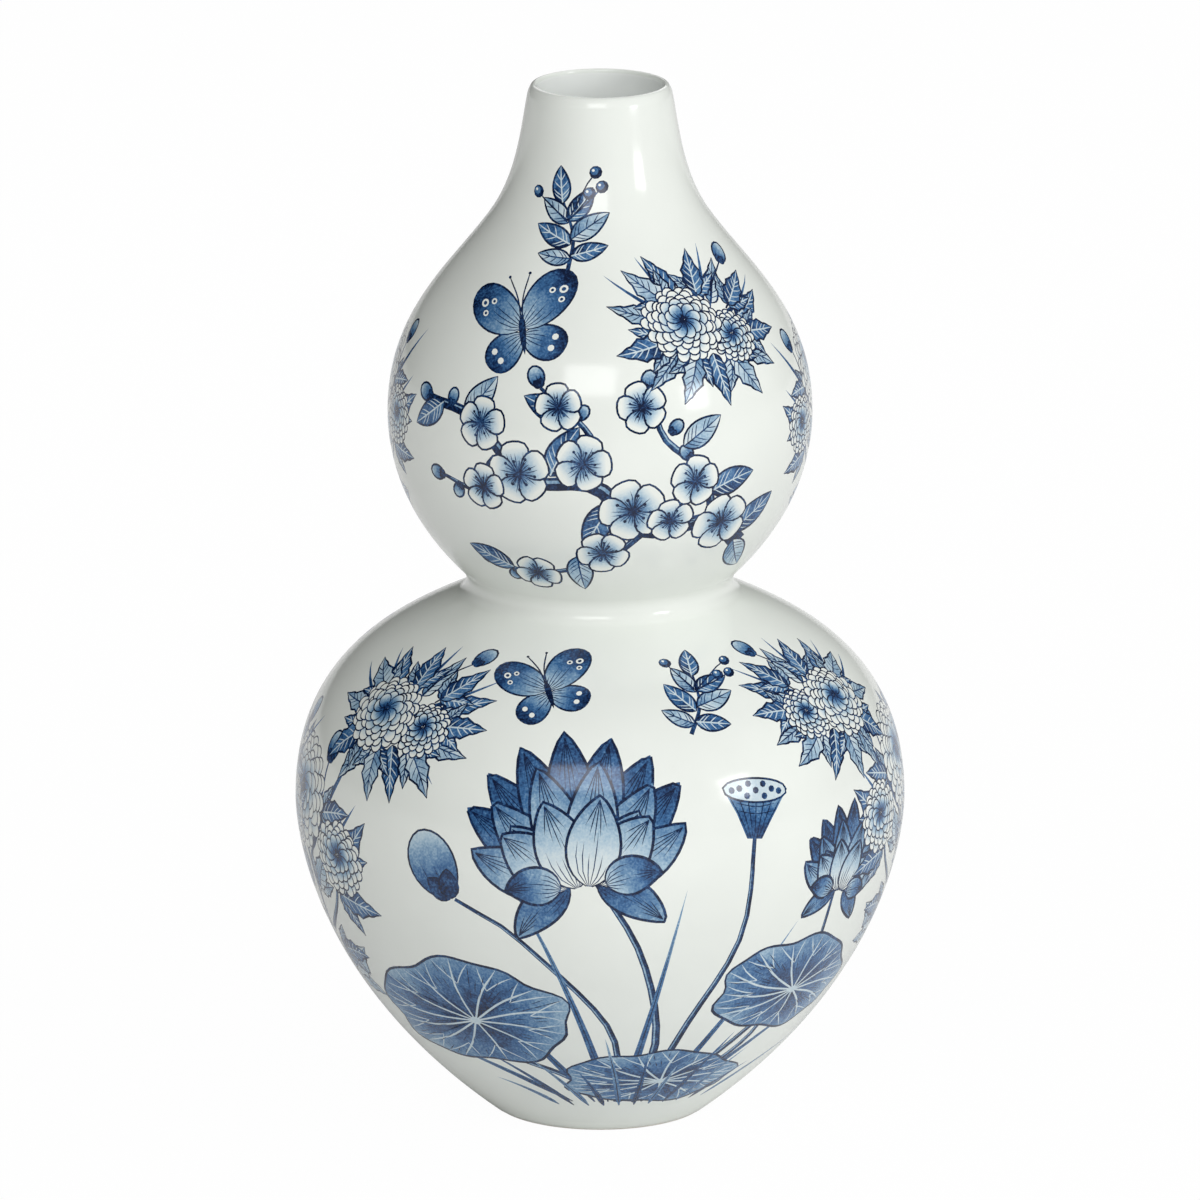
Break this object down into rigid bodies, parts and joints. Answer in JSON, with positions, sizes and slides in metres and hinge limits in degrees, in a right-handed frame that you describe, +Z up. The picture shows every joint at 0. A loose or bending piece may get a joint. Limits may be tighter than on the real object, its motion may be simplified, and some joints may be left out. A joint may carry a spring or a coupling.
{
  "type": "gourd vase",
  "caption": "Tall double-gourd porcelain vase with a full lower bulb, a pinched waist, a smaller upper bulb and a narrow open neck, glazed with a blue and white printed pattern.",
  "frame": {"origin": "centre of the foot ring on the surface that the vase stands on", "axes": "+Z up along the vase's axis of revolution; -Y is the side seen in the picture, +X to its right"},
  "size_m": [0.2904, 0.2904, 0.5],
  "materials": {
    "glazed_porcelain": "clear gloss glaze over white porcelain with blue printed decoration",
    "bare_porcelain": "unglazed, wiped and fired",
    "fired_slip": "fired slip, smoothed flush with the wall"
  },
  "bodies": {
    "root": {"foot_ring": "bare_porcelain", "foot_slip_seam": "fired_slip", "lower_bowl": "glazed_porcelain", "lower_belly_slip_seam": "fired_slip", "lower_shoulder": "glazed_porcelain", "waist_slip_seam": "fired_slip", "upper_bowl": "glazed_porcelain", "upper_belly_slip_seam": "fired_slip", "upper_shoulder": "glazed_porcelain", "neck_slip_seam": "fired_slip", "neck": "glazed_porcelain"}
  },
  "joints": []
}
